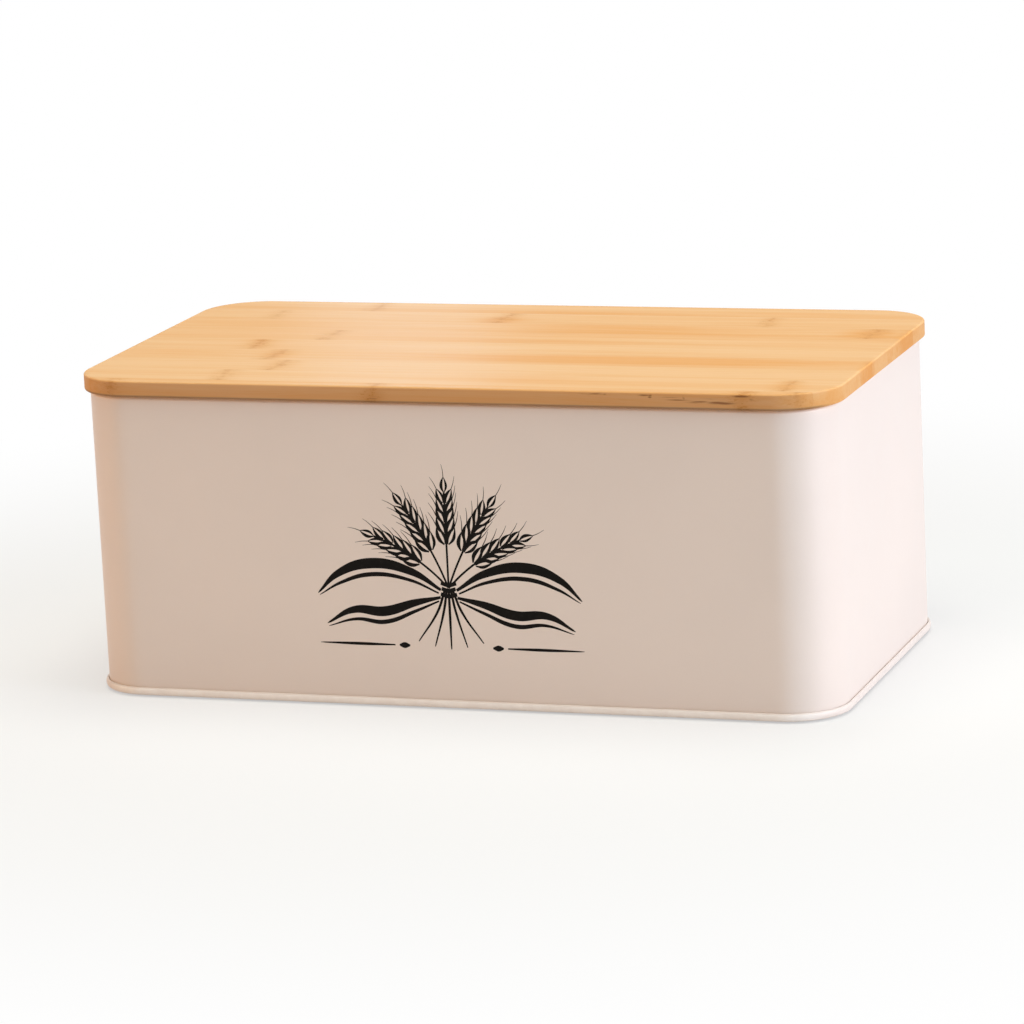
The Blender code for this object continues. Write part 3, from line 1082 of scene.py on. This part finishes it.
# Stains on the front edge as (x, height above the lid's underside, length, thickness, strength).
EDGE_STAINS = [
    (67.5, 5.9, 6.5, 0.35, 0.70),
    (72.7, 5.8, 1.2, 0.45, 0.70),
    (90.5, 5.8, 3.0, 0.40, 0.85),
    (93.0, 5.4, 0.8, 0.90, 0.90),
    (101.5, 5.2, 4.0, 0.35, 0.55),
    (107.0, 4.7, 0.5, 1.20, 0.65),
    (104.5, 4.0, 4.5, 0.40, 0.70),
    (112.0, 3.3, 5.0, 0.45, 0.85),
    (122.5, 3.0, 6.0, 0.60, 0.95),
    (118.5, 4.8, 9.0, 0.45, 0.60),
    (131.0, 5.9, 3.4, 0.60, 1.00),
    (135.7, 4.9, 1.0, 0.70, 0.90),
    (-27.0, 2.2, 2.6, 0.90, 0.50),
]

# %% Make the strips' materials
BAMBOO_SURFACE = {
    "Specular IOR Level": 0.05, "Coat Weight": 0.14, "Coat Roughness": 0.26, "Coat IOR": 1.5,
}
FRAY_SCALE = 130.0
FRAY_REACH = (3.2 * MM, 1.2 * MM, 0.8 * MM)
BEND_SCALE = 38.0
BEND_REACH = (9.0 * MM, 4.0 * MM, 1.0 * MM)
STAIN_DEPTH = 3.0 * MM
SEED_STEP = (0.37, 0.11, 0.05)

FRONT_STRIP = 9
lid_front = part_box("lid_strip_9")[0].y


def spots(tree, place, marks):
    """The strongest of several soft spots. A mark is its centre, its size and its strength."""
    shares = []
    for centre, size, strength in marks:
        spot = use_group(tree, soft_spot, {"Place": place, "Centre": centre, "Size": size})
        shares.append(times(tree, spot["Share"], strength))
    return together(tree, "MAXIMUM", shares)


def bent(tree, place):
    """The place, moved about by noise. Noise averages a half, so half its reach is taken off."""
    fray = vectors(tree, "MULTIPLY", noise(tree, place, FRAY_SCALE, 3.0, output="Color"), FRAY_REACH)
    bend = vectors(tree, "MULTIPLY", noise(tree, place, BEND_SCALE, 1.0, output="Color"), BEND_REACH)
    half = [(a + b) / 2 for a, b in zip(FRAY_REACH, BEND_REACH)]
    moved = vectors(tree, "ADD", place, vectors(tree, "ADD", fray, bend))
    return vectors(tree, "SUBTRACT", moved, half)


def make_strip_material(number):
    tone, joints, blushes = STRIP_MARKS[number]
    material, tree, shader = new_material(f"bamboo_strip_{number}", BAMBOO_SURFACE)
    place = object_place(tree)
    marked = bent(tree, place)
    feeds = {"Place": place, "Seed": [step * number for step in SEED_STEP], "Tone": tone}
    for socket, length in (("Joints", JOINT_LENGTH), ("Lines", LINE_LENGTH)):
        marks = [((x * MM, 0, 0), (length * MM, MARK_LONG, MARK_LONG), s) for x, s in joints]
        feeds[socket] = spots(tree, marked, marks)
    if blushes:
        marks = [((x * MM, y * MM, 0), (l * MM, w * MM, MARK_LONG), s) for x, y, l, w, s in blushes]
        feeds["Blush"] = spots(tree, marked, marks)
    if number == FRONT_STRIP:
        marks = [((x * MM, lid_front, lid_under + z * MM), (l * MM, STAIN_DEPTH, t * MM), s)
                 for x, z, l, t, s in EDGE_STAINS]
        feeds["Stain"] = spots(tree, marked, marks)
    wood = use_group(tree, bamboo, feeds)
    finish_shader(tree, shader, wood["Colour"], wood["Roughness"], wood["Height"], BAMBOO_DEPTH)
    return material


strip_materials = {number: make_strip_material(number) for number in STRIP_MARKS}
print("strip materials:", len(strip_materials))

# %% [markdown]
# ## The lid
#
# The lid is glued up as one board and shaped afterwards, so that is how it is modelled: a block gets
# its four corners rounded, its arrises eased by sanding, and its underside rebated so that a plug
# drops inside the rim. Only then is it cut at the glue lines, once for each strip, and a hair of glue
# line stays open between neighbours.

# %% Make the board
LID_CORNER_RADIUS = 26.0 * MM
LID_CORNER_STEPS = 28
LID_ARRIS = 0.8 * MM
ARRIS_STEPS = 5
PLUG_INSET = 7.0 * MM
PLUG_CHAMFER = 0.6 * MM
CHAMFER_STEPS = 2

plug_bottom = lid_low.z


def make_board():
    size = (2 * lid_high.x, -2 * lid_front, LID_EDGE)
    select_only()
    bpy.ops.mesh.primitive_cube_add(size=1, location=(0, 0, lid_top - LID_EDGE / 2), scale=size)
    board = call_it("lid_board")
    settle(board)
    start_editing(board)
    bpy.ops.mesh.select_mode(type="EDGE")
    bpy.ops.mesh.select_all(action="DESELECT")
    mesh = bmesh.from_edit_mesh(board.data)
    for edge in mesh.edges:
        edge.select_set(abs(edge.verts[0].co.z - edge.verts[1].co.z) > LID_EDGE / 2)
    bmesh.update_edit_mesh(board.data)
    bpy.ops.mesh.bevel(offset=LID_CORNER_RADIUS, segments=LID_CORNER_STEPS, affect="EDGES")
    for level in (lid_top, lid_under):
        pick("EDGE", lambda p: abs(p.z - level) < NEAR)
        bpy.ops.mesh.bevel(offset=LID_ARRIS, segments=ARRIS_STEPS, affect="EDGES")
    pick("FACE", lambda p: abs(p.z - lid_top) < NEAR)
    bpy.ops.mesh.inset(thickness=EASE)

    # The rebate: a ledge, the plug's side and its chamfered bottom.
    pick("FACE", lambda p: abs(p.z - lid_under) < NEAR)
    bpy.ops.mesh.inset(thickness=PLUG_INSET - LID_ARRIS)
    draw_line((0, 0, plug_bottom - lid_under))
    pick("EDGE", lambda p: abs(p.z - plug_bottom) < NEAR)
    bpy.ops.mesh.bevel(offset=PLUG_CHAMFER, segments=CHAMFER_STEPS, affect="EDGES")
    stop_editing()
    return board


lid_board = make_board()
print("board:", [round(side / MM, 1) for side in lid_board.dimensions], "mm")

# %% Cut the board into strips
GLUE_LINE = 0.06 * MM


def glue_line_between(number):
    """The middle of the gap between a strip and the next one towards the front."""
    return (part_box(f"lid_strip_{number}")[0].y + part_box(f"lid_strip_{number + 1}")[1].y) / 2


def cut(y, keep_front):
    bpy.ops.mesh.select_all(action="SELECT")
    bpy.ops.mesh.bisect(
        plane_co=(0, y, 0), plane_no=(0, 1, 0), use_fill=True, threshold=SAME_POINT,
        clear_outer=keep_front, clear_inner=not keep_front)


def make_strip(number):
    strip = copy_of(lid_board, f"bamboo_strip_{number}")
    start_editing(strip)
    if number > 1:
        cut(glue_line_between(number - 1) - GLUE_LINE / 2, keep_front=True)
    if number < FRONT_STRIP:
        cut(glue_line_between(number) + GLUE_LINE / 2, keep_front=False)
    stop_editing()
    dress(strip, strip_materials[number])
    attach(strip, "lid")
    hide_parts(f"lid_strip_{number}")
    return strip


strips = [make_strip(number) for number in STRIP_MARKS]
bpy.data.objects.remove(lid_board)
print("strips:", [round(strip.dimensions.y / MM, 2) for strip in strips], "mm wide")

# %% [markdown]
# ## Floor and light
#
# The picture has a white ground and soft light. A big cool softbox on the right gives most of it, so
# the right side is bright, the front is in gentle shade and the round corner runs from one to the
# other. Two softboxes above light the lid, and the nearer one a little of the front. A warm one low
# on the left tints the left corner, and a small window behind draws the pale streak on the lid.
#
# The floor is pale and keeps a soft shadow. Far from the box it turns plain white, as does the sky
# behind it, but only for rays that look at it: the light that it throws on the box stays as it was.

# %% The floor
FLOOR_SIZE = 12.0
FLOOR_COLOUR = (0.80, 0.79, 0.77, 1.0)
WHITE = (1.0, 1.0, 1.0, 1.0)
SHADOW_SHARE = 0.50
TURNS_WHITE = (0.22, 0.58)


def seen_rays(tree):
    """1 for rays that look at the ground itself, or at its mirror image."""
    rays = put(tree, "ShaderNodeLightPath").outputs
    kinds = ("Is Camera Ray", "Is Glossy Ray", "Is Transmission Ray")
    return together(tree, "MAXIMUM", [rays[kind] for kind in kinds])


def make_floor():
    select_only()
    bpy.ops.mesh.primitive_plane_add(size=FLOOR_SIZE)
    floor = call_it("floor")
    material, tree = new_material("floor", {})[:2]
    tree.nodes.clear()
    diffuse = put(tree, "ShaderNodeBsdfDiffuse", {"Color": FLOOR_COLOUR}).outputs[0]
    white = put(tree, "ShaderNodeEmission", {"Color": WHITE, "Strength": 1.0}).outputs[0]
    away = put(tree, "ShaderNodeVectorMath", {0: object_place(tree)}, operation="LENGTH")
    plain = fit(tree, away.outputs["Value"], *TURNS_WHITE, 1 - SHADOW_SHARE, 1.0)
    share = times(tree, seen_rays(tree), plain)
    mix = put(tree, "ShaderNodeMixShader", {0: share, 1: diffuse, 2: white}).outputs[0]
    put(tree, "ShaderNodeOutputMaterial", {"Surface": mix})
    floor.data.materials.append(material)


make_floor()
print("floor:", FLOOR_SIZE, "m wide")

# %% The lamps and the sky
SKY_COLOUR = (0.155, 0.165, 0.175, 1.0)
LAMP_AIM = Vector((0, 0, 0.07))

# Name, place, size, power and colour.
LAMPS = [
    ("key", (1.93, -0.34, 0.49), 1.0, 30.5, (0.84, 0.87, 1.0)),
    ("overhead", (0.16, 0.20, 2.10), 1.4, 28.0, (1.0, 1.0, 0.96)),
    ("above_front", (-0.10, -0.70, 2.00), 1.2, 10.4, (0.95, 0.98, 0.82)),
    ("warm_left", (-1.57, -0.84, 0.32), 0.7, 8.4, (1.0, 0.40, 0.07)),
    ("window", (-0.80, 2.02, 0.60), 0.15, 0.75, (0.40, 0.72, 1.0)),
]


def make_sky():
    world = bpy.data.worlds.new("sky")
    world.use_nodes = True
    tree = world.node_tree
    tree.nodes.clear()
    fill = put(tree, "ShaderNodeBackground", {"Color": SKY_COLOUR, "Strength": 1.0}).outputs[0]
    white = put(tree, "ShaderNodeBackground", {"Color": WHITE, "Strength": 1.0}).outputs[0]
    mix = put(tree, "ShaderNodeMixShader", {0: seen_rays(tree), 1: fill, 2: white}).outputs[0]
    put(tree, "ShaderNodeOutputWorld", {"Surface": mix})
    bpy.context.scene.world = world


def softbox(name, place, size, power, colour):
    """A square lamp that looks at the box."""
    data = bpy.data.lights.new(name, "AREA")
    data.shape = "SQUARE"
    data.size = size
    data.energy = power
    data.color = colour
    lamp = bpy.data.objects.new(name, data)
    lamp.visible_camera = False
    bpy.context.scene.collection.objects.link(lamp)
    turn = (LAMP_AIM - Vector(place)).to_track_quat("-Z", "Y")
    lamp.matrix_world = Matrix.Translation(place) @ turn.to_matrix().to_4x4()


make_sky()
for lamp in LAMPS:
    softbox(*lamp)
print("lamps:", ", ".join(lamp[0] for lamp in LAMPS))
